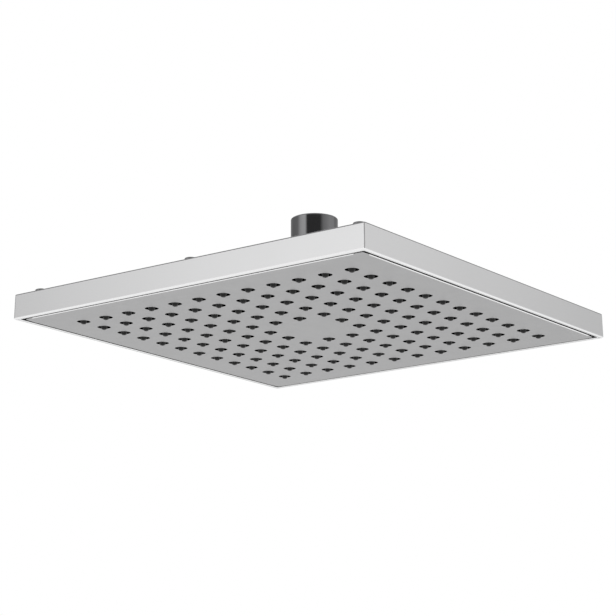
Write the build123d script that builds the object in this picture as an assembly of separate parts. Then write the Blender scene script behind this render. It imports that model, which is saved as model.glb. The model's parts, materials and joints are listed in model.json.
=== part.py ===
from build123d import *
from math import acos, asin, cos, degrees, radians, sin, sqrt, tan
import os

# Square overhead shower head on a ball joint, hung from a round inlet collar.
# Sizes are in millimetres. The origin is the middle of the inlet mouth and +Z points up along the
# inlet, so every other piece hangs below it and the water leaves downwards.

# Nozzle field: a square grid with its middle left blank. There are so many holes and tips that each
# is drawn with a few flat sides instead of a round wall.
nozzle_pitch = 17.5
nozzle_rows = 12
blank_rows = 2
nozzle_hole = 7.9
hole_sides = 8
nozzle_root = 4.8
nozzle_tip = 2.6
nozzle_reach = 1.3  # how far the soft tips stand out of the face plate
tip_sides = 6
nozzle_bore = 1.1
bore_sides = 4

# Back shell: a square tray with its open side down
head_side = 250.0
body_height = 15.0
rim_width = 2.5
top_wall = 2.5
side_draft = 1.0
corner_radius = 0.8
top_edge_radius = 0.4
rim_edge_radius = 0.6
opening_corner_radius = 1.0

# Face plate, flush in the rim of the shell
plate_thickness = 2.5
plate_gap = 2.0
plate_corner_radius = 2.0
plate_edge_chamfer = 0.4

# Soft nozzle mat, clamped along its edge by a rib of the shell
mat_thickness = 1.5
bead_height = 1.0
bead_width = 5.0
rib_thickness = 3.0
rib_margin = 4.0
leg_side = 5.0
leg_offset = 12.0

# Screws through the back of the shell into posts of the face plate
screw_inset = 11.0
screw_shank = 3.5
screw_head = 7.0
screw_head_height = 2.6
screw_head_edge = 0.9
screw_length = 10.0
screw_slack = 0.25
pad_diameter = 10.0
pad_height = 1.2
post_diameter = 8.0
pilot_depth = 8.0

# Ball joint
ball_radius = 13.0
ball_mouth = 14.0
seat_thickness = 1.9
running_clearance = 0.05
tilt_range = 15.0
swing_spare = 2.0  # degrees left between the neck and the nut at full tilt
socket_floor = 3.0
boss_wall = 3.0
boss_drop = 1.0
boss_flare = 4.0
passage_diameter = 12.8
seal_low = 55.0  # the seats' ends, in degrees below or above the ball's middle
seal_high = 20.0
seat_low = 12.0
seat_high = 38.0

# Ring nut that holds the ball in the boss
nut_wall = 3.5
nut_skirt = 11.0
nut_land = 1.2
nut_lip = 1.6
nut_shoulder = 4.0
thread_clearance = 0.05
grip_count = 8
grip_diameter = 5.0
grip_depth = 0.8

# Inlet stem: ball, neck and collar turned in one piece, with a half-inch pipe thread in the collar
neck_diameter = 13.0
swing_gap = 1.5  # between the collar and the nut at full tilt
collar_diameter = 28.3
collar_chamfer = 0.7
thread_diameter = 18.6
thread_length = 10.8
flat_width = 25.0
flat_height = 4.5
channel_diameter = 9.0

# Pieces in the inlet, stacked below the thread
gasket_diameter = 20.4
gasket_hole = 12.0
gasket_thickness = 2.0
filter_thickness = 0.4
filter_hole = 1.6
filter_pitch = 2.4
filter_rows = 4
limiter_diameter = 14.0
limiter_thickness = 2.5
limiter_port = 2.4
limiter_ports = 4
limiter_port_circle = 7.0
insert_clearance = 0.05
collar_floor = 2.0

# Radii of the ball joint, from the ball outwards
seat_inner = ball_radius + running_clearance
seat_outer = seat_inner + seat_thickness
socket_radius = seat_outer + running_clearance
boss_radius = socket_radius + boss_wall
nut_bore = boss_radius + thread_clearance
nut_radius = nut_bore + nut_wall

# The nut's mouth is a cone that clears the neck when the head tilts both ways at once
neck_radius = neck_diameter / 2
full_tilt = degrees(acos(cos(radians(tilt_range)) ** 2))
lip_angle = degrees(asin(neck_radius / socket_radius)) + full_tilt + swing_spare
nut_rise = socket_radius * cos(radians(lip_angle)) + nut_land
nut_mouth = nut_rise * tan(radians(lip_angle))
nut_top_radius = nut_mouth + nut_lip
neck_rise = nut_rise * cos(radians(full_tilt)) + nut_top_radius * sin(radians(full_tilt)) + swing_gap

# Heights, from the inlet mouth down to the face plate
thread_end = -thread_length
seat_floor = thread_end - gasket_thickness - filter_thickness
limiter_floor = seat_floor - limiter_thickness
collar_bottom = limiter_floor - collar_floor
ball_z = collar_bottom - neck_rise
shell_top = ball_z - socket_radius - socket_floor
ceiling = shell_top - top_wall
face_z = shell_top - body_height
plate_top = face_z + plate_thickness
mat_top = plate_top + mat_thickness
bead_top = mat_top + bead_height
boss_top = ball_z - boss_drop
pad_top = shell_top + pad_height
tip_z = face_z - nozzle_reach

# Places in plan
opening_side = head_side - 2 * rim_width
plate_side = opening_side - 2 * plate_gap
field_half = nozzle_pitch * (nozzle_rows - 1) / 2
blank_half = nozzle_pitch * blank_rows / 2
rib_inner = field_half + nozzle_hole / 2 + rib_margin
rib_outer = rib_inner + rib_thickness
bead_middle = rib_inner + rib_thickness / 2
mat_side = 2 * bead_middle + bead_width
screw_spacing = head_side / 2 - screw_inset

grid = GridLocations(nozzle_pitch, nozzle_pitch, nozzle_rows, nozzle_rows)
nozzle_spots = [
    spot
    for spot in grid
    if max(abs(spot.position.X), abs(spot.position.Y)) > blank_half
]
screw_spots = [
    spot
    for spot in GridLocations(screw_spacing, screw_spacing, 3, 3)
    if spot.position.length > screw_spacing / 2
]


def at(height):
    return Pos(0, 0, height)


def many_sided(across, sides):
    return RegularPolygon(across / 2, sides, major_radius=False, rotation=180 / sides)


def column(bottom, top, section):
    return extrude(at(bottom) * section, top - bottom)


def drawn_in(wide, narrow):
    # A peg with flat sides between two ends that have the same number of corners
    corners = list(zip(wide.vertices(), narrow.vertices()))
    walls = [
        make_face(Polyline(first, last, narrow_last, narrow_first, close=True))
        for (first, narrow_first), (last, narrow_last) in zip(corners, corners[1:] + corners[:1])
    ]
    return Solid(Shell([wall.face() for wall in walls] + [wide.face(), narrow.face()]))


def turned(edges):
    return revolve(Plane.XZ * make_face(edges), Axis.Z)


def on_ball(radius, angle):
    return (radius * cos(radians(angle)), ball_z + radius * sin(radians(angle)))


def ball_arc(radius, start, end):
    middle = (start + end) / 2
    return ThreePointArc(on_ball(radius, start), on_ball(radius, middle), on_ball(radius, end))


def back_shell():
    # The tray, with drafted sides and rounded edges
    outline = RectangleRounded(head_side, head_side, corner_radius)
    tray = extrude(at(face_z) * outline, body_height, taper=side_draft)
    tray = fillet(tray.faces().sort_by(Axis.Z)[-1].edges(), top_edge_radius)
    tray = fillet(tray.faces().sort_by(Axis.Z)[0].edges(), rim_edge_radius)
    opening = RectangleRounded(opening_side, opening_side, opening_corner_radius)
    tray -= column(face_z, ceiling, opening)

    # Inside: the rib that clamps the mat's bead, and legs that hold the mat down round the inlet
    rib = Rectangle(2 * rib_outer, 2 * rib_outer) - Rectangle(2 * rib_inner, 2 * rib_inner)
    tray += column(bead_top, ceiling, rib)
    leg = column(mat_top, ceiling, Rectangle(leg_side, leg_side))
    tray += [spot * leg for spot in PolarLocations(leg_offset, 4)]

    # Outside: pads under the screw heads, and the flared boss of the ball joint
    pad = column(shell_top, pad_top, Circle(pad_diameter / 2))
    tray += [spot * pad for spot in screw_spots]
    boss_edge = Polyline(
        (0, ceiling),
        (boss_radius + boss_flare, ceiling),
        (boss_radius + boss_flare, shell_top),
        (boss_radius, shell_top + boss_flare),
        (boss_radius, boss_top),
        (0, boss_top),
        close=True,
    )
    tray += turned(boss_edge)

    # Cuts: the ball's socket, the water passage and the screw holes
    tray -= at(ball_z) * Sphere(socket_radius)
    tray -= column(ceiling, ball_z, Circle(passage_diameter / 2))
    hole = column(ceiling, pad_top, Circle(screw_shank / 2 + screw_slack))
    tray -= [spot * hole for spot in screw_spots]
    return tray


def face_plate():
    plate = column(face_z, plate_top, RectangleRounded(plate_side, plate_side, plate_corner_radius))
    plate = chamfer(plate.faces().sort_by(Axis.Z)[0].edges(), plate_edge_chamfer)

    # Posts for the screws stand on the back of the plate and meet the inside of the shell
    pilot = Circle(screw_shank / 2 + thread_clearance)
    post = column(plate_top, ceiling, Circle(post_diameter / 2))
    post -= column(ceiling - pilot_depth, ceiling, pilot)
    plate += [spot * post for spot in screw_spots]

    hole = column(face_z, plate_top, many_sided(nozzle_hole, hole_sides))
    return plate - [spot * hole for spot in nozzle_spots]


def nozzle_mat():
    mat = column(plate_top, mat_top, Rectangle(mat_side, mat_side))
    inner = mat_side - 2 * bead_width
    mat += column(mat_top, bead_top, Rectangle(mat_side, mat_side) - Rectangle(inner, inner))
    root = at(plate_top) * many_sided(nozzle_root, tip_sides)
    tip = at(tip_z) * many_sided(nozzle_tip, tip_sides)
    nozzle = drawn_in(root, tip)
    mat += [spot * nozzle for spot in nozzle_spots]

    # The water runs down a bore through the sheet and the tip
    bore = column(tip_z, mat_top, many_sided(nozzle_bore, bore_sides))
    return mat - [spot * bore for spot in nozzle_spots]


def cover_screws():
    head = column(pad_top, pad_top + screw_head_height, Circle(screw_head / 2))
    head = fillet(head.faces().sort_by(Axis.Z)[-1].edges(), screw_head_edge)
    screw = head + column(pad_top - screw_length, pad_top, Circle(screw_shank / 2))
    return [spot * screw for spot in screw_spots]


def ball_seal():
    return turned(seat_edges(-seal_low, -seal_high))


def ball_seat():
    return turned(seat_edges(seat_low, seat_high))


def seat_edges(start, end):
    return [
        ball_arc(seat_inner, start, end),
        Line(on_ball(seat_inner, end), on_ball(seat_outer, end)),
        ball_arc(seat_outer, end, start),
        Line(on_ball(seat_outer, start), on_ball(seat_inner, start)),
    ]


def ring_nut():
    edge = Polyline(
        (0, ball_z - nut_skirt),
        (nut_radius, ball_z - nut_skirt),
        (nut_radius, ball_z + nut_shoulder),
        (nut_top_radius, ball_z + nut_rise),
        (0, ball_z + nut_rise),
        close=True,
    )
    nut = turned(edge)
    nut -= column(ball_z - nut_skirt, boss_top + thread_clearance, Circle(nut_bore))
    nut -= at(ball_z) * Sphere(socket_radius)
    mouth = Polyline((0, ball_z), (nut_mouth, ball_z + nut_rise), (0, ball_z + nut_rise), close=True)
    nut -= turned(mouth)
    grip = column(ball_z - nut_skirt, ball_z + nut_rise, Circle(grip_diameter / 2))
    grip_circle = nut_radius + grip_diameter / 2 - grip_depth
    return nut - [spot * grip for spot in PolarLocations(grip_circle, grip_count)]


def inlet_stem():
    collar = collar_diameter / 2
    channel = channel_diameter / 2
    mouth = ball_mouth / 2
    thread = thread_diameter / 2
    seat = gasket_diameter / 2 + insert_clearance
    limiter = limiter_diameter / 2 + insert_clearance
    ball_bottom = ball_z - sqrt(ball_radius**2 - mouth**2)
    ball_top = ball_z + sqrt(ball_radius**2 - neck_radius**2)
    low = -degrees(acos(mouth / ball_radius))
    high = degrees(acos(neck_radius / ball_radius))
    edges = [
        Line((channel, ball_bottom), (mouth, ball_bottom)),
        ball_arc(ball_radius, low, high),
        Polyline(
            (neck_radius, ball_top),
            (neck_radius, collar_bottom),
            (collar - collar_chamfer, collar_bottom),
            (collar, collar_bottom + collar_chamfer),
            (collar, -collar_chamfer),
            (collar - collar_chamfer, 0),
            (thread, 0),
            (thread, thread_end),
            (seat, thread_end),
            (seat, seat_floor),
            (limiter, seat_floor),
            (limiter, limiter_floor),
            (channel, limiter_floor),
            (channel, ball_bottom),
        ),
    ]
    stem = turned(edges)

    # Two spanner flats low on the collar
    outside = Circle(collar_diameter) - Rectangle(2 * collar_diameter, flat_width)
    return stem - column(collar_bottom, collar_bottom + flat_height, outside)


def inlet_gasket():
    ring = Circle(gasket_diameter / 2) - Circle(gasket_hole / 2)
    return column(thread_end - gasket_thickness, thread_end, ring)


def filter_screen():
    mesh = GridLocations(filter_pitch, filter_pitch, filter_rows, filter_rows)
    disc = Circle(gasket_diameter / 2) - [spot * Rectangle(filter_hole, filter_hole) for spot in mesh]
    return column(seat_floor, seat_floor + filter_thickness, disc)


def flow_limiter():
    ports = PolarLocations(limiter_port_circle / 2, limiter_ports)
    disc = Circle(limiter_diameter / 2) - [spot * Circle(limiter_port / 2) for spot in ports]
    return column(limiter_floor, seat_floor, disc)


nodes = {
    "back_shell": back_shell(),
    "face_plate": face_plate(),
    "nozzle_mat": nozzle_mat(),
    "cover_screws": Compound(children=cover_screws()),
    "ball_seal": ball_seal(),
    "ball_seat": ball_seat(),
    "ring_nut": ring_nut(),
    "inlet_stem": inlet_stem(),
    "inlet_gasket": inlet_gasket(),
    "filter_screen": filter_screen(),
    "flow_limiter": flow_limiter(),
}

os.makedirs("parts", exist_ok=True)
for name, shape in nodes.items():
    export_step(shape, f"parts/{name}.step")
print("face plate at", round(face_z, 2), "ball at", round(ball_z, 2), "mat side", mat_side)
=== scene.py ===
import json
import bmesh
import bpy
import numpy as np
from mathutils import Matrix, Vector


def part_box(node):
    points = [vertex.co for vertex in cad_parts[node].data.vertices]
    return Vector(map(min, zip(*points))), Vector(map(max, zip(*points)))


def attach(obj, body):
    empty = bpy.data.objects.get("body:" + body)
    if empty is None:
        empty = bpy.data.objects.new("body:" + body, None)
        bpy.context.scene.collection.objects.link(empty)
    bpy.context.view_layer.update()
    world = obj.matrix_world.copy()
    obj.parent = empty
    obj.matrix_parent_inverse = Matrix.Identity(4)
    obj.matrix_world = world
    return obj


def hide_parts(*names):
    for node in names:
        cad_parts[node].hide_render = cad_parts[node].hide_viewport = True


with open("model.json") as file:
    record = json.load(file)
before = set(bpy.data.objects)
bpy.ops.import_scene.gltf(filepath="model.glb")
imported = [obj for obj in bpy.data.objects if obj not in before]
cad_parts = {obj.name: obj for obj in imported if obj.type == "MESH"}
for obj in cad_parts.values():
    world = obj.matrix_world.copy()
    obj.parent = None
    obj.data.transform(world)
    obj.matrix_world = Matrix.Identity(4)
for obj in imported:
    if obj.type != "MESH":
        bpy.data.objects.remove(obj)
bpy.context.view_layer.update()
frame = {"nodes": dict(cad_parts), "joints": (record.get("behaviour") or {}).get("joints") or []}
print("frame loaded:", len(frame["nodes"]), "nodes")

mm = 0.001  # shapes below are worked out in millimetres
sink = 0.3  # how far a small form stands into the wall that carries it
fit = 0.03  # between a sleeve and its hole
tiny = 0.01  # keeps a comparison or a division safe
weld = 0.000004  # points closer than this, in metres, become one
sliver = 0.000002  # edges shorter than this, in metres, are dropped
holdShare = 0.2  # how far past its arc a rounded corner holds the straight side, in radii


# corners of a CAD node in millimetres
def nodeBox(node):
    low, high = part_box(node)
    return np.array(low) / mm, np.array(high) / mm


plateLow, plateHigh = nodeBox("face_plate")
matLow, matHigh = nodeBox("nozzle_mat")
shellHigh = nodeBox("back_shell")[1]
nutLow, nutHigh = nodeBox("ring_nut")
screwLow = nodeBox("cover_screws")[0]
gasketLow, gasketHigh = nodeBox("inlet_gasket")
screenLow, screenHigh = nodeBox("filter_screen")
ballZ = frame["joints"][0]["pos_m"][2] / mm
faceZ = plateLow[2]


# Quads of a grid of points: each quad joins a point, the next one along, and the same two on the next row.
def gridFaces(rows, columns, wrapRows, wrapColumns):
    i = np.arange(rows if wrapRows else rows - 1)
    j = np.arange(columns if wrapColumns else columns - 1)
    a, b = np.meshgrid(i, j, indexing="ij")
    up, along = (a + 1) % rows, (b + 1) % columns
    quads = np.stack([a * columns + b, a * columns + along, up * columns + along, up * columns + b], axis=-1)
    return quads.reshape(-1, 4)


# A patch is (points, faces); a grid of shape (rows, columns, 3) becomes one patch.
def gridPatch(points, wrapRows=False, wrapColumns=True):
    rows, columns = points.shape[:2]
    return points.reshape(-1, 3), gridFaces(rows, columns, wrapRows, wrapColumns)


# The same patch at several places: the points are added to each place, the faces count on.
def patchAt(patch, places):
    points, faces = patch
    places = np.asarray(places, float).reshape(-1, 1, 3)
    steps = np.arange(len(places)).reshape(-1, 1, 1) * len(points)
    return (points[None] + places).reshape(-1, 3), (faces[None] + steps).reshape(-1, 4)


# Joins patches into one mesh, welds what meets and turns every face outwards.
def makePiece(name, patches, body, nodes, material, sharp=32):
    points = np.concatenate([p for p, _ in patches])
    starts = np.cumsum([0] + [len(p) for p, _ in patches[:-1]])
    faces = np.concatenate([f + s for (_, f), s in zip(patches, starts)])
    mesh = bpy.data.meshes.new(name)
    mesh.from_pydata(points * mm, [], faces.tolist())
    work = bmesh.new()
    work.from_mesh(mesh)
    bmesh.ops.remove_doubles(work, verts=work.verts, dist=weld)
    bmesh.ops.dissolve_degenerate(work, edges=work.edges, dist=sliver)
    bmesh.ops.recalc_face_normals(work, faces=work.faces)
    work.to_mesh(mesh)
    work.free()
    mesh.shade_smooth()
    mesh.set_sharp_from_angle(angle=np.radians(sharp))
    piece = bpy.data.objects.new(name, mesh)
    bpy.context.collection.objects.link(piece)
    mesh.materials.append(material)
    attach(piece, body)
    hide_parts(*nodes)
    print("piece", name, len(mesh.polygons), "faces")
    return piece


# middle of each polygon of a piece, in millimetres
def polygonMiddles(piece):
    middle = np.empty(3 * len(piece.data.polygons))
    piece.data.polygons.foreach_get("center", middle)
    return middle.reshape(-1, 3) / mm


# Gives the chosen polygons of a piece a second material.
def paintPart(piece, material, chosen):
    piece.data.materials.append(material)
    piece.data.polygons.foreach_set("material_index", chosen.astype(np.int32))


# Rounds the corners of a closed or open outline: each corner (r, z, radius) becomes an arc of the circle
# that touches both of its sides; radius 0 leaves it sharp. A point on either side of the arc keeps the
# sides' shading straight.
def roundOutline(corners, closed=True, steps=6):
    corners = np.asarray(corners, float)
    count = len(corners)
    outline = []
    for k in range(count):
        here, radius = corners[k, :2], corners[k, 2]
        ends = not closed and k in (0, count - 1)
        if radius == 0 or ends:
            outline.append(here[None])
            continue
        back = corners[k - 1, :2] - here
        ahead = corners[(k + 1) % count, :2] - here
        back, ahead = back / np.linalg.norm(back), ahead / np.linalg.norm(ahead)
        half = np.arccos(np.clip(back @ ahead, -1, 1)) / 2
        reach = radius / np.tan(half)
        middle = here + (back + ahead) / np.linalg.norm(back + ahead) * radius / np.sin(half)
        first, last = here + back * reach - middle, here + ahead * reach - middle
        t = np.linspace(0, 1, steps)[:, None]
        turn = np.pi - 2 * half
        arc = (np.sin((1 - t) * turn) * first + np.sin(t * turn) * last) / np.sin(turn)
        hold = reach + holdShare * radius
        outline.append(np.concatenate([[here + back * hold], middle + arc, [here + ahead * hold]]))
    return np.concatenate(outline)


# the four corners of a rectangle, in order
def loopOf(inner, outer, low, high):
    return [(inner, low), (outer, low), (outer, high), (inner, high)]


# Part of a circle about the ball's middle, as (r, z): angle is measured up from the level plane.
def ballArc(radius, start, end, steps):
    angle = np.radians(np.linspace(start, end, steps))
    return np.stack([radius * np.cos(angle), ballZ + radius * np.sin(angle)], axis=1)


# Turns an outline (r, z) about the Z axis: x = r cos a, y = r sin a.
def turnedGrid(outline, segments=96):
    angle = np.linspace(0, 2 * np.pi, segments, endpoint=False)
    r, z = outline[:, :1], outline[:, 1:]
    return np.stack([r * np.cos(angle), r * np.sin(angle), z + 0 * angle], axis=-1)


# Distance from the axis to a square with rounded corners, along each angle: half a side over the larger of
# cosine and sine on the flats, and the far crossing with the corner's circle elsewhere.
def squareReach(angle, half, corner):
    c, s = np.abs(np.cos(angle)), np.abs(np.sin(angle))
    flat = half / np.maximum(c, s)
    inset = half - corner
    root = np.maximum(inset**2 * (c + s) ** 2 - 2 * inset**2 + corner**2, 0)
    return np.where(flat * np.minimum(c, s) <= inset, flat, inset * (c + s) + np.sqrt(root))


# Rows of rounded squares (half side, corner radius, z), one ring of points each.
def squareGrid(rings, angle):
    rings = np.asarray(rings, float)
    reach = squareReach(angle[None], rings[:, :1], rings[:, 1:2])
    return np.stack([reach * np.cos(angle), reach * np.sin(angle), rings[:, 2:] + 0 * reach], axis=-1)


# angles round the square, in degrees: wide steps along the sides and close ones through the corners
squareSteps = dict(sideEnd=44.4, sidePoints=37, cornerStart=44.5, cornerEnd=45.5, cornerPoints=13)
quarter = np.concatenate([
    np.linspace(-squareSteps["sideEnd"], squareSteps["sideEnd"], squareSteps["sidePoints"]),
    np.linspace(squareSteps["cornerStart"], squareSteps["cornerEnd"], squareSteps["cornerPoints"])])
squareAngles = np.radians((quarter[None] + np.array([[0], [90], [180], [270]])).reshape(-1))


# Starts a material: returns it with its nodes, links, shader and the Object coordinate.
def newMaterial(name):
    material = bpy.data.materials.new(name)
    material.use_nodes = True
    nodes, links = material.node_tree.nodes, material.node_tree.links
    shader = nodes["Principled BSDF"]
    place = nodes.new("ShaderNodeTexCoord")
    return material, nodes, links, shader, place.outputs["Object"]


noiseRange = (0.3, 0.7)  # noise seldom leaves this range
noiseDetail = dict(shade=3.0, rough=4.0, wave=1.0, grain=2.0)


# noise on the object, as a value
def addNoise(nodes, links, coords, scale, detail):
    noise = nodes.new("ShaderNodeTexNoise")
    noise.inputs["Scale"].default_value = scale
    noise.inputs["Detail"].default_value = noiseDetail[detail]
    links.new(coords, noise.inputs["Vector"])
    return noise.outputs["Fac"]


# Noise squeezed between two values.
def noiseBetween(nodes, links, coords, scale, low, high):
    span = nodes.new("ShaderNodeMapRange")
    span.inputs["From Min"].default_value, span.inputs["From Max"].default_value = noiseRange
    span.inputs["To Min"].default_value, span.inputs["To Max"].default_value = low, high
    links.new(addNoise(nodes, links, coords, scale, "rough"), span.inputs["Value"])
    return span.outputs["Result"]


# Noise that swings a colour between two shades.
def noiseShade(nodes, links, coords, scale, dark, light):
    ramp = nodes.new("ShaderNodeValToRGB")
    for stop, place, shade in zip(ramp.color_ramp.elements, noiseRange, (dark, light)):
        stop.position = place
        stop.color = (*shade, 1)
    links.new(addNoise(nodes, links, coords, scale, "shade"), ramp.inputs["Fac"])
    return ramp.outputs["Color"]


# Bump from a height; its depth is in metres.
def addBump(nodes, links, shader, height, depth, strength):
    bump = nodes.new("ShaderNodeBump")
    bump.inputs["Strength"].default_value = strength
    bump.inputs["Distance"].default_value = depth
    links.new(height, bump.inputs["Height"])
    links.new(bump.outputs["Normal"], shader.inputs["Normal"])


# Starts a finish: its shade and its roughness come from noise on the object.
def startFinish(name, look):
    material, nodes, links, shader, coords = newMaterial(name)
    shader.inputs["Metallic"].default_value = look["metallic"]
    shader.inputs["Specular IOR Level"].default_value = look["gloss"]
    shade = noiseShade(nodes, links, coords, look["shadeScale"], look["dark"], look["light"])
    links.new(shade, shader.inputs["Base Color"])
    rough = noiseBetween(nodes, links, coords, look["roughScale"], look["roughLow"], look["roughHigh"])
    links.new(rough, shader.inputs["Roughness"])
    return material, nodes, links, shader, coords


platedShell = dict(dark=(0.90, 0.90, 0.905), light=(0.915, 0.915, 0.92), shadeScale=14, roughLow=0.155,
                   roughHigh=0.18, roughScale=45, waviness=70, depth=0.00003, strength=0.08, metallic=1.0,
                   gloss=0.5)
turnedChrome = dict(dark=(0.23, 0.23, 0.235), light=(0.26, 0.26, 0.265), shadeScale=40, roughLow=0.06,
                    roughHigh=0.11, roughScale=120, lines=2600, unevenness=0.6, depth=0.000004, strength=0.2,
                    metallic=1.0, gloss=0.5)
satinPlate = dict(dark=(0.53, 0.53, 0.533), light=(0.55, 0.55, 0.553), shadeScale=60, roughLow=0.49,
                  roughHigh=0.53, roughScale=220, grain=3600, depth=0.00001, strength=0.12, metallic=1.0,
                  gloss=0.5)
blackSilicone = dict(dark=(0.006, 0.006, 0.006), light=(0.009, 0.009, 0.009), shadeScale=60, roughLow=0.28,
                     roughHigh=0.36, roughScale=220, grain=1800, depth=0.00002, strength=0.3, metallic=0.0,
                     gloss=0.28)
# Painted shade: a darker, duller copy of the black silicone for the sleeves and hollows round each nozzle, so
# the holes read as deep shade.
paintedShadeSilicone = dict(dark=(0.002, 0.002, 0.002), light=(0.003, 0.003, 0.003), shadeScale=60, roughLow=0.6,
                     roughHigh=0.7, roughScale=220, grain=1800, depth=0.00002, strength=0.3, metallic=0.0,
                     gloss=0.03)
blackRubber = dict(dark=(0.012, 0.012, 0.012), light=(0.026, 0.026, 0.026), shadeScale=60, roughLow=0.6,
                   roughHigh=0.8, roughScale=220, grain=1500, depth=0.00004, strength=0.4, metallic=0.0,
                   gloss=0.5)
whitePlastic = dict(dark=(0.74, 0.74, 0.72), light=(0.80, 0.80, 0.78), shadeScale=60, roughLow=0.38,
                    roughHigh=0.5, roughScale=220, grain=900, depth=0.00002, strength=0.2, metallic=0.0,
                    gloss=0.5)
zincSteel = dict(dark=(0.24, 0.24, 0.245), light=(0.30, 0.30, 0.30), shadeScale=60, roughLow=0.16,
                 roughHigh=0.26, roughScale=220, grain=1400, depth=0.00002, strength=0.25, metallic=1.0,
                 gloss=0.5)
screenWire = dict(dark=(0.45, 0.45, 0.45), light=(0.62, 0.62, 0.62), shadeScale=60, roughLow=0.25,
                  roughHigh=0.4, roughScale=220, grain=2500, depth=0.00001, strength=0.2, metallic=1.0,
                  gloss=0.5)


# Plating over moulded plastic: a mirror with a faint waviness and uneven polish.
def makePlatedShell(look):
    material, nodes, links, shader, coords = startFinish("platedShell", look)
    wave = addNoise(nodes, links, coords, look["waviness"], "wave")
    addBump(nodes, links, shader, wave, look["depth"], look["strength"])
    return material


# Metal or plastic with a fine grain: shade, roughness and bump from noise on the object.
def makeGrained(name, look):
    material, nodes, links, shader, coords = startFinish(name, look)
    grain = addNoise(nodes, links, coords, look["grain"], "grain")
    addBump(nodes, links, shader, grain, look["depth"], look["strength"])
    return material


# Turned and plated brass: fine rings round the axis, as a lathe leaves them.
def makeTurnedChrome(look):
    material, nodes, links, shader, coords = startFinish("turnedChrome", look)
    rings = nodes.new("ShaderNodeTexWave")
    rings.bands_direction = "Z"
    rings.inputs["Scale"].default_value = look["lines"]
    rings.inputs["Distortion"].default_value = look["unevenness"]
    links.new(coords, rings.inputs["Vector"])
    addBump(nodes, links, shader, rings.outputs["Fac"], look["depth"], look["strength"])
    return material


shellFinish = makePlatedShell(platedShell)
plateFinish = makeGrained("satinPlate", satinPlate)
stemFinish = makeTurnedChrome(turnedChrome)
siliconeFinish = makeGrained("blackSilicone", blackSilicone)
sleeveShadeFinish = makeGrained("paintedShadeSilicone", paintedShadeSilicone)
rubberFinish = makeGrained("blackRubber", blackRubber)
plasticFinish = makeGrained("whitePlastic", whitePlastic)
steelFinish = makeGrained("zincSteel", zincSteel)
wireFinish = makeGrained("screenWire", screenWire)
print("materials made")


facePlate = dict(pitch=17.5, rows=12, blankRows=2, hole=7.9, holeEdge=0.1, thickness=2.5, edge=0.4,
                 corner=2.0, segments=16, post=8.0, postSides=24, pilot=3.6, pilotDepth=8.0, screwInset=11.0)

plateTop = faceZ + facePlate["thickness"]
plateHalf = plateHigh[0]
spots = (np.arange(facePlate["rows"]) - (facePlate["rows"] - 1) / 2) * facePlate["pitch"]
spotX, spotY = np.meshgrid(spots, spots, indexing="ij")
blankReach = facePlate["pitch"] * facePlate["blankRows"] / 2
isBlank = np.maximum(np.abs(spotX), np.abs(spotY)) < blankReach
nozzleSpots = np.stack([spotX[~isBlank], spotY[~isBlank], 0 * spotX[~isBlank]], axis=1)
blankSpots = np.stack([spotX[isBlank], spotY[isBlank], 0 * spotX[isBlank]], axis=1)
screwAt = np.array([-1, 0, 1]) * (shellHigh[0] - facePlate["screwInset"])
screwX, screwY = np.meshgrid(screwAt, screwAt, indexing="ij")
onEdge = (np.abs(screwX) + np.abs(screwY)) > 1  # all but the middle one
screwSpots = np.stack([screwX[onEdge], screwY[onEdge], 0 * screwX[onEdge]], axis=1)


# One square cell round a nozzle. Each ring is a rounded square (half side, corner radius, z); with the
# corner as large as the half side it is a circle.
def cellGrid(rings, segments):
    return squareGrid(rings, np.linspace(0, 2 * np.pi, segments, endpoint=False))


# Points along the outer edge of the whole field of cells, in order, so that a border can start there.
def fieldEdge(pitch, rows, segments):
    angle = np.linspace(-np.pi / 4, np.pi / 4, segments // 4 + 1)[:-1]
    step = pitch / 2 * np.tan(angle)
    along = (spots[:, None] + step[None]).reshape(-1)
    half = pitch * rows / 2
    side = np.stack([half + 0 * along, along], axis=1)
    turns = [np.array([[1, 0], [0, 1]]), np.array([[0, 1], [-1, 0]])]
    turns += [-turns[0], -turns[1]]
    return np.concatenate([side @ turn for turn in turns])


# A border from the field's edge outwards: along each point's own direction, every ring lies on a rounded
# square (half side, corner radius, z).
def borderGrid(edge, rings):
    return squareGrid(rings, np.arctan2(edge[:, 1], edge[:, 0]))


# A cell with a hole for each nozzle, plain cells in the middle, a border out to the bevelled edge, and the
# posts that take the screws.
def makeFacePlate():
    p = facePlate
    cell, hole, sides = p["pitch"] / 2, p["hole"] / 2, p["segments"]
    wall = [(hole + p["holeEdge"], faceZ), (hole, faceZ + p["holeEdge"]), (hole, plateTop)]
    rings = [(cell, 0, faceZ)] + [(r, r, z) for r, z in wall] + [(cell, 0, plateTop)]
    patches = [patchAt(gridPatch(cellGrid(rings, sides)), nozzleSpots)]
    for z in (faceZ, plateTop):
        patches.append(patchAt(gridPatch(cellGrid([(cell, 0, z), (0, 0, z)], sides)), blankSpots))
    half, bevel, corner = p["pitch"] * p["rows"] / 2, p["edge"], p["corner"]
    border = [(half, 0, faceZ), (plateHalf - bevel, corner, faceZ), (plateHalf, corner, faceZ + bevel)]
    border += [(plateHalf, corner, plateTop), (half, 0, plateTop)]
    patches.append(gridPatch(borderGrid(fieldEdge(p["pitch"], p["rows"], sides), border)))
    foot, top, pilot = plateTop - sink, plateHigh[2], p["pilot"] / 2
    post = [(0, foot), (p["post"] / 2, foot), (p["post"] / 2, top), (pilot, top)]
    post += [(pilot, top - p["pilotDepth"]), (0, top - p["pilotDepth"])]
    patches.append(patchAt(gridPatch(turnedGrid(np.array(post, float), p["postSides"])), screwSpots))
    plate = makePiece("facePlate", patches, "head", ["face_plate"], plateFinish)
    paintPart(plate, shellFinish, np.abs(polygonMiddles(plate)[:, :2]).max(axis=1) > plateHalf - bevel)
    return plate


nozzleMat = dict(thickness=1.5, sleeveLip=0.08, sleeveWall=0.1, trough=0.2, root=5.4, tip=2.9, tipEdge=0.28,
                 orifice=1.3, corner=0.5, beadWidth=5.0, sharp=40)


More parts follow.
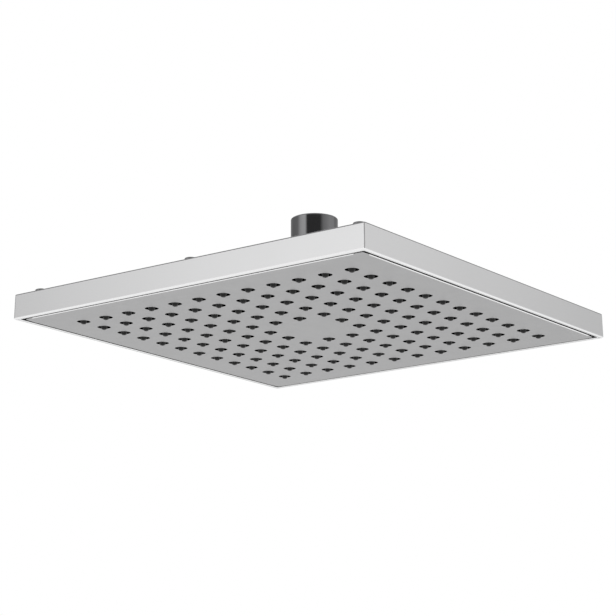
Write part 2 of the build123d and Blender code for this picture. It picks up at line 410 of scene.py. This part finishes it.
# Each nozzle's outline goes round its sleeve, across a shallow trough, down the cone and back up its orifice.
def makeNozzleMat():
    p = nozzleMat
    low, top, tip = plateTop, plateTop + p["thickness"], matLow[2]
    pitch, sides = facePlate["pitch"], facePlate["segments"]
    cell, outer, lip = pitch / 2, facePlate["hole"] / 2 - fit, faceZ + p["sleeveLip"]
    inner, floor = outer - p["sleeveWall"], low - p["trough"]
    root, point, bore = p["root"] / 2, p["tip"] / 2, p["orifice"] / 2
    line = [(outer, low), (outer, lip), (inner, lip), (inner, floor), (root, floor)]
    line += [(point, tip + p["tipEdge"]), (point - p["tipEdge"], tip), (bore, tip), (bore, top)]
    rings = [(cell, 0, low)] + [(r, r, z) for r, z in line] + [(cell, 0, top)]
    patches = [patchAt(gridPatch(cellGrid(rings, sides)), nozzleSpots)]
    for z in (low, top):
        patches.append(patchAt(gridPatch(cellGrid([(cell, 0, z), (0, 0, z)], sides)), blankSpots))
    half, side, corner = pitch * facePlate["rows"] / 2, matHigh[0], p["corner"]
    border = [(half, 0, low), (side, corner, low), (side, corner, top), (half, 0, top)]
    patches.append(gridPatch(borderGrid(fieldEdge(pitch, facePlate["rows"], sides), border)))
    bead, foot = side - p["beadWidth"], top - sink
    ridge = [(h, corner, z) for h, z in loopOf(bead, side, foot, matHigh[2])]
    patches.append(gridPatch(squareGrid(ridge, squareAngles), wrapRows=True))
    mat = makePiece("nozzleMat", patches, "head", ["nozzle_mat"], siliconeFinish, p["sharp"])
    away = np.abs(polygonMiddles(mat)[:, :2] % pitch - cell)  # from the nearest nozzle's middle
    # painted shade: the mat beyond each nozzle's root, sleeve and trough included, takes the darker, duller
    # silicone
    paintPart(mat, sleeveShadeFinish, np.hypot(away[:, 0], away[:, 1]) > root)
    return mat


backShell = dict(side=250.0, height=15.0, draft=1.0, corner=0.8, topEdge=0.7, rimEdge=0.9, edgeSteps=8,
                 rimHold=0.2, hold=0.3, rim=2.5, wall=2.5, openingCorner=1.0, openingEdge=0.35,
                 passage=12.8, socket=15.0, socketSteps=18, bossWall=3.0, mouthEdge=0.4, pad=10.0,
                 padHeight=1.2, padEdge=0.4, padSides=40, ribInner=104.2, rib=3.0, ribCorner=0.4, leg=5.0,
                 legCorner=0.2, legPole=0.001, legStep=15.0, legOffset=12.0,
                 flare=4.0, flareRun=3.0, flareFoot=0.8, flareHead=1.5,
                 roofShare=0.7, roofCorner=20, bossNear=12, bossNearCorner=6, bossFoot=0.6,
                 ceilingHalf=40, ceilingCorner=30, ceilingShare=0.8, ceilingFarCorner=10)


# One closed loop of rounded squares: round the rim, up the drafted side (half side - slope * height), over
# the top, up the boss, down its round socket and back under the ceiling. A ring on either side of each
# rounding holds the flat shading. The rib, the legs and the screw pads stand a little way into it.
def makeBackShell():
    p = backShell
    top, ceiling = faceZ + p["height"], faceZ + p["height"] - p["wall"]
    slope = np.tan(np.radians(p["draft"]))
    half = p["side"] / 2
    opening = half - p["rim"]
    t = np.linspace(0, np.pi / 2, p["edgeSteps"])
    turn, corner, hold = p["rimEdge"], p["corner"], p["hold"]
    rim = np.stack([half - turn + turn * np.sin(t), faceZ + turn * (1 - np.cos(t))], axis=1)
    crown = half - slope * p["height"] - p["topEdge"]
    edge = np.stack([crown + p["topEdge"] * np.cos(t), top - p["topEdge"] * (1 - np.sin(t))], axis=1)
    inner = p["openingEdge"]
    rings = [(opening, p["openingCorner"], faceZ + inner), (opening + inner, p["openingCorner"], faceZ)]
    rings += [(rim[0, 0] - p["rimHold"], corner, faceZ)]
    rings += [(h, corner, z) for h, z in rim]
    rings += [(half - slope * (z - faceZ), corner, z) for z in (rim[-1, 1] + hold, edge[0, 1] - hold)]
    rings += [(h, corner, z) for h, z in edge]
    rings += [(crown - hold, corner, top)]
    boss = p["socket"] + p["bossWall"]
    wide = boss + p["flare"]
    rings += [(crown * p["roofShare"], p["roofCorner"], top)]
    rings += [(wide + p["bossNear"], wide + p["bossNearCorner"], top)]
    rings += [(wide + p["bossFoot"], wide + p["bossFoot"], top)]
    bossTop = shellHigh[2]
    mouth = np.sqrt(p["socket"] ** 2 - (ballZ - bossTop) ** 2)
    flare = roundOutline([(wide + p["flareRun"], top, 0), (wide, top, p["flareFoot"]),
                          (boss, top + p["flare"], p["flareHead"]), (boss, bossTop, p["mouthEdge"]),
                          (mouth, bossTop, 0)], closed=False)[1:]
    rings += [(r, r, z) for r, z in flare]
    passage = p["passage"] / 2
    low = -np.degrees(np.arccos(passage / p["socket"]))
    high = -np.degrees(np.arcsin((ballZ - bossTop) / p["socket"]))
    rings += [(r, r, z) for r, z in ballArc(p["socket"], high, low, p["socketSteps"])[1:]]
    rings += [(passage, passage, ceiling), (p["ceilingHalf"], p["ceilingCorner"], ceiling)]
    rings += [(opening * p["ceilingShare"], p["ceilingFarCorner"], ceiling)]
    rings += [(opening, p["openingCorner"], ceiling)]
    patches = [gridPatch(squareGrid(rings, squareAngles), wrapRows=True)]
    rib, buried = p["ribInner"], ceiling + sink
    ribRings = [(h, p["ribCorner"], z) for h, z in loopOf(rib, rib + p["rib"], matHigh[2], buried)]
    patches.append(gridPatch(squareGrid(ribRings, squareAngles), wrapRows=True))
    legLow, leg, pole = plateTop + nozzleMat["thickness"], p["leg"] / 2, p["legPole"]
    legRings = [(pole, 0, legLow), (leg, p["legCorner"], legLow)]
    legRings += [(leg, p["legCorner"], buried), (pole, 0, buried)]
    legAngles = np.radians(np.arange(0, 360, p["legStep"]))
    legSpots = p["legOffset"] * np.array([[1, 0, 0], [0, 1, 0], [-1, 0, 0], [0, -1, 0]])
    patches.append(patchAt(gridPatch(squareGrid(legRings, legAngles)), legSpots))
    padTop, pad = top + p["padHeight"], p["pad"] / 2
    padLine = roundOutline([(0, top - sink, 0), (pad, top - sink, 0), (pad, padTop, p["padEdge"]),
                            (0, padTop, 0)], closed=False)
    patches.append(patchAt(gridPatch(turnedGrid(padLine, p["padSides"])), screwSpots))
    shell = makePiece("backShell", patches, "head", ["back_shell"], shellFinish)
    middle = polygonMiddles(shell)
    # Painted shade: the rounding along the top edge gets the stem's darker metal in place of the dark
    # reflection it shows.
    paintedShadeTopEdge = (np.abs(middle[:, :2]).max(axis=1) > crown) & (middle[:, 2] > edge[0, 1])
    paintPart(shell, stemFinish, paintedShadeTopEdge)  # painted shade: the stem's darker metal on the top edge's rounding stands in for its dark reflection
    return shell


coverScrews = dict(head=7.0, headHeight=2.6, crown=0.45, rounding=0.5, edgeSteps=6, shank=3.5, point=1.5,
                   pointRadius=0.6, crossLong=2.0, crossWide=0.62, crossDeep=1.3, crossTaper=0.45,
                   sideSoft=0.14, endSoft=0.2, fineReach=2.3, fineRings=24, plainFrom=2.5, plainRings=4,
                   segments=64, sharp=38)


# A pan head: the top is a low crown, z = h - crown (r / R)^2, less a cross that grows shallower
# towards its ends.
def makeScrews():
    p = coverScrews
    radius, turn = p["head"] / 2, p["rounding"]
    padTop = faceZ + backShell["height"] + backShell["padHeight"]
    r = np.concatenate([np.linspace(0, p["fineReach"], p["fineRings"]),
                        np.linspace(p["plainFrom"], radius - turn, p["plainRings"])])
    z = padTop + p["headHeight"] - p["crown"] * (r / radius) ** 2
    t = np.linspace(0, np.pi / 2, p["edgeSteps"])[1:]
    side = np.stack([radius - turn + turn * np.sin(t), z[-1] - turn * (1 - np.cos(t))], axis=1)
    low, shank = screwLow[2], p["shank"] / 2
    under = [(radius, padTop), (shank, padTop), (shank, low + p["point"]), (p["pointRadius"], low), (0, low)]
    outline = np.concatenate([np.stack([r, z], axis=1), side, np.array(under, float)])
    grid = turnedGrid(outline, p["segments"])
    x, y = np.abs(grid[:, :, 0]), np.abs(grid[:, :, 1])
    along, across = np.maximum(x, y), np.minimum(x, y)
    inside = np.clip((p["crossWide"] - across) / p["sideSoft"], 0, 1)
    inside = inside * np.clip((p["crossLong"] - along) / p["endSoft"], 0, 1)
    onTop = (np.arange(len(outline)) < len(r))[:, None]
    taper = 1 - p["crossTaper"] * np.minimum(along / p["crossLong"], 1)
    grid[:, :, 2] -= onTop * inside * taper * p["crossDeep"]
    patches = [patchAt(gridPatch(grid), screwSpots)]
    return makePiece("coverScrews", patches, "head", ["cover_screws"], steelFinish, p["sharp"])


ringNut = dict(socket=15.0, socketSteps=16, bore=18.05, bossGap=0.05, radius=21.55, shoulder=4.0, land=1.2,
               lip=1.6, footEdge=0.5, shoulderEdge=1.6, topEdge=0.4, mouthEdge=0.2, edgeSteps=7, skirtRows=12,
               grips=8, gripReach=2.0, gripDeep=0.8, gripBand=1.5, segments=192)


# The nut's wall bends in at each grip: depth falls with the square of the distance from the grip's middle.
def makeRingNut():
    p = ringNut
    low, top = nutLow[2], nutHigh[2]
    rise, land = top - ballZ, p["land"]
    lipAngle = np.degrees(np.arccos((rise - land) / p["socket"]))
    mouth = rise * np.tan(np.radians(lipAngle))
    boreTop = shellHigh[2] + p["bossGap"]
    seatLow = -np.degrees(np.arcsin((ballZ - boreTop) / p["socket"]))
    lipInner = p["socket"] * np.sin(np.radians(lipAngle))
    outer = roundOutline([(p["bore"], low, 0), (p["radius"], low, p["footEdge"]),
                          (p["radius"], ballZ + p["shoulder"], p["shoulderEdge"]),
                          (mouth + p["lip"], top, p["topEdge"]), (mouth, top, p["mouthEdge"]),
                          (lipInner, top - land, 0)], closed=False, steps=p["edgeSteps"])
    socket = ballArc(p["socket"], 90 - lipAngle, seatLow, p["socketSteps"])[1:]
    outline = np.concatenate([outer, socket, np.array([(p["bore"], boreTop)])])
    cut = np.argmax(np.diff(outline[:, 1])) + 1  # the tall plain wall gets rows of its own
    skirt = np.linspace(outline[cut - 1], outline[cut], p["skirtRows"])[1:-1]
    outline = np.concatenate([outline[:cut], skirt, outline[cut:]])
    grid = turnedGrid(outline, p["segments"])
    angle = np.linspace(0, 2 * np.pi, p["segments"], endpoint=False)
    pitch = 2 * np.pi / p["grips"]
    away = np.abs((angle + pitch / 2) % pitch - pitch / 2) * p["radius"]
    dent = p["gripDeep"] * np.clip(1 - (away / p["gripReach"]) ** 2, 0, 1)
    onWall = np.clip((outline[:, 0] - (p["radius"] - p["gripBand"])) / p["gripBand"], 0, 1)
    shrink = 1 - onWall[:, None] * dent[None] / p["radius"]
    grid[:, :, :2] *= shrink[:, :, None]
    return makePiece("ringNut", [gridPatch(grid, wrapRows=True)], "head", ["ring_nut"], shellFinish)


inletStem = dict(ball=13.0, mouth=14.0, neck=13.0, collar=28.3, chamfer=0.7, thread=18.6, threadLength=10.8,
                 threadPitch=1.814, threadDeep=0.9, seat=20.5, seatDepth=2.4, limiter=14.1, limiterDepth=2.5,
                 floor=2.0, channel=9.0, flats=25.0, flatHeight=4.5, flatStep=0.02, ballSteps=48,
                 neckRound=1.0, mouthRound=0.5, threadStart=0.1, threadRows=120, threadFade=1.2, segments=128)


# Ball, neck and collar are one outline turned; the flats cut it where |y| would pass half their width,
# and the thread is a wave along the bore that climbs one pitch in each turn.
def makeInletStem():
    p = inletStem
    collar, thread, channel = p["collar"] / 2, p["thread"] / 2, p["channel"] / 2
    threadEnd = -p["threadLength"]
    seatFloor = threadEnd - p["seatDepth"]
    limiterFloor = seatFloor - p["limiterDepth"]
    bottom = limiterFloor - p["floor"]
    low = -np.degrees(np.arccos(p["mouth"] / 2 / p["ball"]))
    high = np.degrees(np.arccos(p["neck"] / 2 / p["ball"]))
    ball = ballArc(p["ball"], low, high, p["ballSteps"])
    flatTop = bottom + p["flatHeight"]
    outside = roundOutline([(p["neck"] / 2, ball[-1, 1], 0), (p["neck"] / 2, bottom, p["neckRound"]),
                            (collar, bottom, p["chamfer"]), (collar, flatTop, 0)], closed=False)[1:]
    upper = roundOutline([(collar, flatTop + p["flatStep"], 0), (collar, 0, p["chamfer"]),
                          (thread, 0, p["mouthRound"]), (thread, threadEnd, 0)], closed=False)[:-1]
    bore = np.linspace(upper[-1, 1] - p["threadStart"], threadEnd, p["threadRows"])
    inside = [(p["seat"] / 2, threadEnd), (p["seat"] / 2, seatFloor), (p["limiter"] / 2, seatFloor)]
    inside += [(p["limiter"] / 2, limiterFloor), (channel, limiterFloor), (channel, ball[0, 1])]
    threaded = np.stack([thread + 0 * bore, bore], axis=1)
    outline = np.concatenate([ball, outside, upper, threaded, np.array(inside)])
    grid = turnedGrid(outline, p["segments"])
    angle = np.linspace(0, 2 * np.pi, p["segments"], endpoint=False)
    reach = np.linalg.norm(grid[:, :, :2], axis=2)
    limit = p["flats"] / 2 / np.maximum(np.abs(np.sin(angle)), tiny)
    count = len(ball) + len(outside)
    onFlat = (np.arange(len(outline)) < count) & (outline[:, 1] >= bottom - tiny)
    factor = np.where(onFlat[:, None], np.minimum(1, limit[None] / reach), 1)
    first = count + len(upper)
    onThread = np.zeros(len(outline))
    ends = np.minimum(bore[0] - bore, bore - threadEnd)
    onThread[first:first + len(bore)] = np.clip(ends / p["threadFade"], 0, 1)
    turn = outline[:, 1:] / p["threadPitch"] - angle[None] / (2 * np.pi)
    groove = onThread[:, None] * p["threadDeep"] * (1 - np.cos(2 * np.pi * turn)) / 2
    factor = factor * (1 + groove / reach)
    grid[:, :, :2] *= factor[:, :, None]
    patches = [gridPatch(grid, wrapRows=True)]
    return makePiece("inletStem", patches, "inlet", ["inlet_stem"], stemFinish)


ballPieces = dict(inner=13.05, outer=14.95, seatLow=12.0, seatHigh=38.0, sealLow=-55.0, sealHigh=-20.0,
                  lean=0.6, steps=14)


# A ring between two spheres, from one angle to another; its ends lean in a little on the outer side.
def makeBallRing(name, low, high, body, node, material):
    p = ballPieces
    inner = ballArc(p["inner"], p[low], p[high], p["steps"])
    outer = ballArc(p["outer"], p[high] - p["lean"], p[low] + p["lean"], p["steps"])
    patch = gridPatch(turnedGrid(np.concatenate([inner, outer])), wrapRows=True)
    return makePiece(name, [patch], body, [node], material)


inletGasket = dict(bore=12.0, roundings=(0.25, 0.2, 0.2, 0.35))


# A flat ring: a rectangle with rounded corners, turned.
def makeGasket():
    corners = loopOf(inletGasket["bore"] / 2, gasketHigh[0], gasketLow[2], gasketHigh[2])
    ring = roundOutline([(r, z, turn) for (r, z), turn in zip(corners, inletGasket["roundings"])])
    patches = [gridPatch(turnedGrid(ring), wrapRows=True)]
    return makePiece("inletGasket", patches, "inlet", ["inlet_gasket"], rubberFinish)


filterScreen = dict(rim=3.2, rimEdge=0.1, rimSteps=4, rimSides=72, wires=15, wire=0.16, sway=0.096,
                    buried=0.1, steps=60, sides=6)


# Woven wires: each wire is a thin tube whose height waves over and under the ones it crosses,
# z = a cos(pi s / pitch), with the phase turned round from one wire to the next.
def makeFilter():
    p = filterScreen
    outer, low, high = screenHigh[0], screenLow[2], screenHigh[2]
    inner = outer - p["rim"]
    middle = (low + high) / 2
    rim = [(r, z, p["rimEdge"]) for r, z in loopOf(inner, outer, low, high)]
    rim = roundOutline(rim, steps=p["rimSteps"])
    patches = [gridPatch(turnedGrid(rim, p["rimSides"]), wrapRows=True)]
    pitch = 2 * inner / (p["wires"] + 1)
    offsets = (np.arange(p["wires"]) - (p["wires"] - 1) / 2) * pitch
    ring = np.linspace(0, 2 * np.pi, p["sides"], endpoint=False)
    radius = p["wire"] / 2
    for k, offset in enumerate(offsets):
        reach = np.sqrt(inner**2 - offset**2) + p["buried"]
        s = np.linspace(-reach, reach, p["steps"])
        wave = p["sway"] * np.cos(np.pi * s / pitch + np.pi * k)
        for across, sign in ((False, 1), (True, -1)):
            width = offset + radius * np.cos(ring)[None] + 0 * s[:, None]
            height = middle + sign * wave[:, None] + radius * np.sin(ring)[None]
            along = s[:, None] + 0 * width
            pair = (width, along) if across else (along, width)
            tube = np.stack([pair[0], pair[1], height], axis=-1)
            ends = np.repeat(tube[[0, -1]].mean(axis=1, keepdims=True), p["sides"], axis=1)
            patches.append(gridPatch(np.concatenate([ends[:1], tube, ends[1:]])))
    return makePiece("filterScreen", patches, "inlet", ["filter_screen"], wireFinish)


makeFacePlate()
makeNozzleMat()
makeBackShell()
makeScrews()
makeRingNut()
makeInletStem()
makeBallRing("ballSeat", "seatLow", "seatHigh", "seat", "ball_seat", plasticFinish)
makeBallRing("ballSeal", "sealLow", "sealHigh", "seal", "ball_seal", rubberFinish)
makeGasket()
makeFilter()
limiter = frame["nodes"]["flow_limiter"]  # the one node that stays as it was built
limiter.data.materials.clear()
limiter.data.materials.append(plasticFinish)
print("pieces made")


studio = dict(floorZ=-1.5, floorHalf=4.0, floorDark=(0.86, 0.86, 0.86), floorLight=(0.88, 0.88, 0.88),
              floorScale=2, floorRough=0.9, floorGlow=0.85, fadeFrom=1.6, fadeTo=3.6)


# A pale floor that the camera and the metal see as near white, fading to white at its rim.
def makeFloor():
    p = studio
    side = np.linspace(-p["floorHalf"], p["floorHalf"], 3)
    x, y = np.meshgrid(side, side, indexing="ij")
    points, faces = gridPatch(np.stack([x, y, p["floorZ"] + 0 * x], axis=-1), wrapColumns=False)
    mesh = bpy.data.meshes.new("floor")
    mesh.from_pydata(points, [], faces.tolist())
    floor = bpy.data.objects.new("floor", mesh)
    bpy.context.collection.objects.link(floor)
    material, nodes, links, shader, coords = newMaterial("paleFloor")
    shade = noiseShade(nodes, links, coords, p["floorScale"], p["floorDark"], p["floorLight"])
    links.new(shade, shader.inputs["Base Color"])
    shader.inputs["Roughness"].default_value = p["floorRough"]
    reach = nodes.new("ShaderNodeVectorMath")
    reach.operation = "LENGTH"
    links.new(coords, reach.inputs[0])
    fade = nodes.new("ShaderNodeMapRange")
    fade.inputs["From Min"].default_value = p["fadeFrom"]
    fade.inputs["From Max"].default_value = p["fadeTo"]
    fade.inputs["To Min"].default_value = p["floorGlow"]
    links.new(reach.outputs["Value"], fade.inputs["Value"])
    ray = nodes.new("ShaderNodeLightPath")
    kinds = ("Is Camera Ray", "Is Glossy Ray", "Is Transmission Ray")
    seen = addUp(nodes, links, [ray.outputs[kind] for kind in kinds])
    share = nodes.new("ShaderNodeMath")
    share.operation = "MULTIPLY"
    share.use_clamp = True
    links.new(seen, share.inputs[0])
    links.new(fade.outputs["Result"], share.inputs[1])
    glow = nodes.new("ShaderNodeEmission")
    both = nodes.new("ShaderNodeMixShader")
    links.new(share.outputs["Value"], both.inputs["Fac"])
    links.new(shader.outputs["BSDF"], both.inputs[1])
    links.new(glow.outputs["Emission"], both.inputs[2])
    links.new(both.outputs["Shader"], nodes["Material Output"].inputs["Surface"])
    mesh.materials.append(material)


# The sum of several values.
def addUp(nodes, links, values):
    total = values[0]
    for value in values[1:]:
        add = nodes.new("ShaderNodeMath")
        links.new(total, add.inputs[0])
        links.new(value, add.inputs[1])
        total = add.outputs["Value"]
    return total


# A ramp of greys over a value, from (value, shade) pairs in rising order.
def greyRamp(nodes, links, value, stops):
    first, last = stops[0][0], stops[-1][0]
    span = nodes.new("ShaderNodeMapRange")
    span.inputs["From Min"].default_value = first
    span.inputs["From Max"].default_value = last
    links.new(value, span.inputs["Value"])
    ramp = nodes.new("ShaderNodeValToRGB")
    while len(ramp.color_ramp.elements) < len(stops):
        ramp.color_ramp.elements.new(0.5)
    for stop, (place, shade) in zip(ramp.color_ramp.elements, stops):
        stop.position = (place - first) / (last - first)
        stop.color = (shade, shade, shade, 1)
    links.new(span.outputs["Result"], ramp.inputs["Fac"])
    return ramp.outputs["Color"]


# Two colours joined by a node: mixed by a factor, or multiplied.
def joinColours(nodes, links, first, second, blend="MIX", factor=None):
    join = nodes.new("ShaderNodeMix")
    join.data_type = "RGBA"
    join.blend_type = blend
    join.inputs["Factor"].default_value = 1.0
    links.new(first, join.inputs["A"])
    links.new(second, join.inputs["B"])
    if factor is not None:
        links.new(factor, join.inputs["Factor"])
    return join.outputs["Result"]


# The studio as greys: its walls and the ground have a row each round the compass, in degrees from +X
# towards +Y. The other rows run over the height, from -1 straight down to 1 straight up: glow scales the
# ground, wallFoot and wallTop blend the walls into the ground and the ceiling.
studioDome = dict(
    radius=8.0, rings=25, step=7.5,
    walls=[(-180, 0.32), (-142, 0.42), (-126, 0.90), (-112, 1.05), (-99, 1.05), (-89, 0.08), (-25, 0.08),
           (-9, 0.45), (30, 0.72), (55, 0.68), (66, 0.44), (110, 0.42), (150, 0.35), (180, 0.32)],
    ground=[(-180, 0.70), (-125, 0.95), (-60, 1.0), (0, 0.90), (60, 0.75), (100, 0.60), (127, 0.56),
            (150, 0.58), (180, 0.70)],
    glow=[(-0.45, 1.0), (-0.28, 0.92), (-0.18, 1.06), (0, 1.0)],
    ceiling=[(0.3, 0.62), (0.7, 0.56), (0.9, 0.48), (0.94, 0.03), (1, 0.02)],
    wallFoot=[(-0.06, 0.0), (0.08, 1.0)],
    wallTop=[(0.30, 0.0), (0.44, 1.0)])


# A sphere about the object: x = R cos e cos a, y = R cos e sin a, z = R sin e. The metal mirrors its greys,
# while the camera looks past it at the white behind.
def makeDome():
    p = studioDome
    rows, columns = np.linspace(-90, 90, p["rings"]), np.arange(0, 360, p["step"])
    e, a = np.meshgrid(np.radians(rows), np.radians(columns), indexing="ij")
    ball = p["radius"] * np.stack([np.cos(e) * np.cos(a), np.cos(e) * np.sin(a), np.sin(e)], axis=-1)
    points, faces = gridPatch(ball)
    mesh = bpy.data.meshes.new("studioDome")
    mesh.from_pydata(points, [], faces.tolist())
    dome = bpy.data.objects.new("studioDome", mesh)
    bpy.context.collection.objects.link(dome)
    dome.visible_camera = False
    dome.visible_shadow = False
    material, nodes, links, _, coords = newMaterial("studioGreys")
    way = nodes.new("ShaderNodeVectorMath")
    way.operation = "NORMALIZE"
    links.new(coords, way.inputs[0])
    split = nodes.new("ShaderNodeSeparateXYZ")
    links.new(way.outputs["Vector"], split.inputs["Vector"])
    compass = nodes.new("ShaderNodeMath")
    compass.operation = "ARCTAN2"
    links.new(split.outputs["Y"], compass.inputs[0])
    links.new(split.outputs["X"], compass.inputs[1])
    degrees = nodes.new("ShaderNodeMath")
    degrees.operation = "DEGREES"
    links.new(compass.outputs["Value"], degrees.inputs[0])
    turn, height = degrees.outputs["Value"], split.outputs["Z"]
    ground = greyRamp(nodes, links, turn, p["ground"])
    ground = joinColours(nodes, links, ground, greyRamp(nodes, links, height, p["glow"]), "MULTIPLY")
    walls = greyRamp(nodes, links, turn, p["walls"])
    ceiling = greyRamp(nodes, links, height, p["ceiling"])
    shade = joinColours(nodes, links, ground, walls, factor=greyRamp(nodes, links, height, p["wallFoot"]))
    shade = joinColours(nodes, links, shade, ceiling, factor=greyRamp(nodes, links, height, p["wallTop"]))
    glow = nodes.new("ShaderNodeEmission")
    links.new(shade, glow.inputs["Color"])
    links.new(glow.outputs["Emission"], nodes["Material Output"].inputs["Surface"])
    mesh.materials.append(material)


# plain white behind everything
def makeWorld():
    world = bpy.data.worlds.new("white")
    bpy.context.scene.world = world
    world.use_nodes = True
    world.node_tree.nodes["Background"].inputs["Color"].default_value = (1, 1, 1, 1)


softbox = dict(place=(-1.4, 0.9, 2.2), aim=(0, 0, -0.05), size=(2.4, 2.0), power=6)


# A soft light: its back points from the aim to its place, its right is level, its up square to both.
def addSoftbox(name, look):
    lamp = bpy.data.lights.new(name, "AREA")
    lamp.shape = "RECTANGLE"
    lamp.size, lamp.size_y = look["size"]
    lamp.energy = look["power"]
    box = bpy.data.objects.new(name, lamp)
    bpy.context.collection.objects.link(box)
    place = np.array(look["place"])
    back = (place - np.array(look["aim"])) / np.linalg.norm(place - np.array(look["aim"]))
    right = np.cross((0, 0, 1), back)
    right = right / np.linalg.norm(right)
    up = np.cross(back, right)
    turn = np.eye(4)
    turn[:3, 0], turn[:3, 1], turn[:3, 2], turn[:3, 3] = right, up, back, place
    box.matrix_world = Matrix(turn.tolist())


# the camera's place is counted from the middle of the nozzle face, in nozzle pitches
view = dict(place=(39.4108, -52.9634, -15.7178), right=(0.799974, 0.600033, -0.001724),
            up=(0.146433, -0.192438, 0.970322), lens=117.086, sensor=36.0, nearest=0.01)


# The camera looks along the cross product of its up and its right.
def addCamera():
    lens = bpy.data.cameras.new("camera")
    lens.sensor_fit = "HORIZONTAL"
    lens.sensor_width = view["sensor"]
    lens.lens = view["lens"]
    lens.clip_start = view["nearest"]
    camera = bpy.data.objects.new("camera", lens)
    bpy.context.collection.objects.link(camera)
    turn = np.eye(4)
    turn[:3, 0], turn[:3, 1] = view["right"], view["up"]
    turn[:3, 2] = np.cross(view["right"], view["up"])
    turn[:3, 3] = np.array(view["place"]) * facePlate["pitch"] * mm + np.array([0, 0, faceZ * mm])
    camera.matrix_world = Matrix(turn.tolist())
    bpy.context.scene.camera = camera


makeFloor()
makeDome()
makeWorld()
addSoftbox("keySoftbox", softbox)
addCamera()
bpy.context.scene.view_settings.view_transform = "Standard"
print("stage set")
